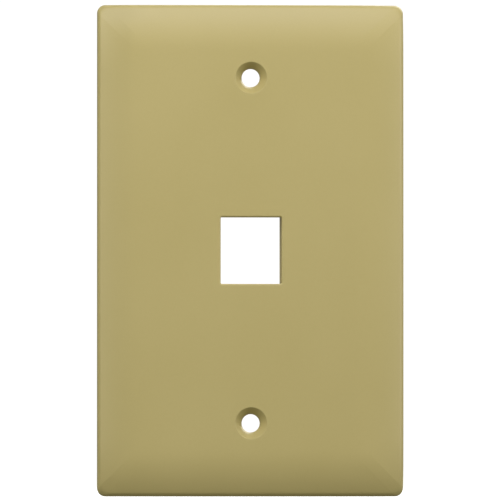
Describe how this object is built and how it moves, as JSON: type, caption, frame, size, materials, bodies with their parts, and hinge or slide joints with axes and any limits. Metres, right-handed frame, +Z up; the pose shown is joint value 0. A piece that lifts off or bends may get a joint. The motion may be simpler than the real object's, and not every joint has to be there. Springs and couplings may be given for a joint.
{
  "type": "wall plate cover",
  "caption": "Single-gang wall plate cover with a snap-in jack port, countersunk mounting holes and mounting screws parked on its back.",
  "frame": {"origin": "middle of the two mounting holes, in the wall plane that the back of the rim rests on", "axes": "+X right and +Z up as seen from the room, +Y into the wall; the face looks along -Y"},
  "size_m": [0.074, 0.01, 0.1186],
  "materials": {
    "plate_plastic": "fine moulded satin, khaki ivory",
    "screw_steel": "bright zinc plate, head painted to match the plate"
  },
  "bodies": {
    "plate": {"wall_plate": "plate_plastic"},
    "upper_screw": {"mounting_screw_upper": "screw_steel"},
    "lower_screw": {"mounting_screw_lower": "screw_steel"}
  },
  "joints": [
    {"name": "upper_screw_out", "type": "slide", "parent": "plate", "child": "upper_screw", "axis": [0, 1, 0], "range_m": [0, 0.012]},
    {"name": "lower_screw_out", "type": "slide", "parent": "plate", "child": "lower_screw", "axis": [0, 1, 0], "range_m": [0, 0.012]}
  ]
}
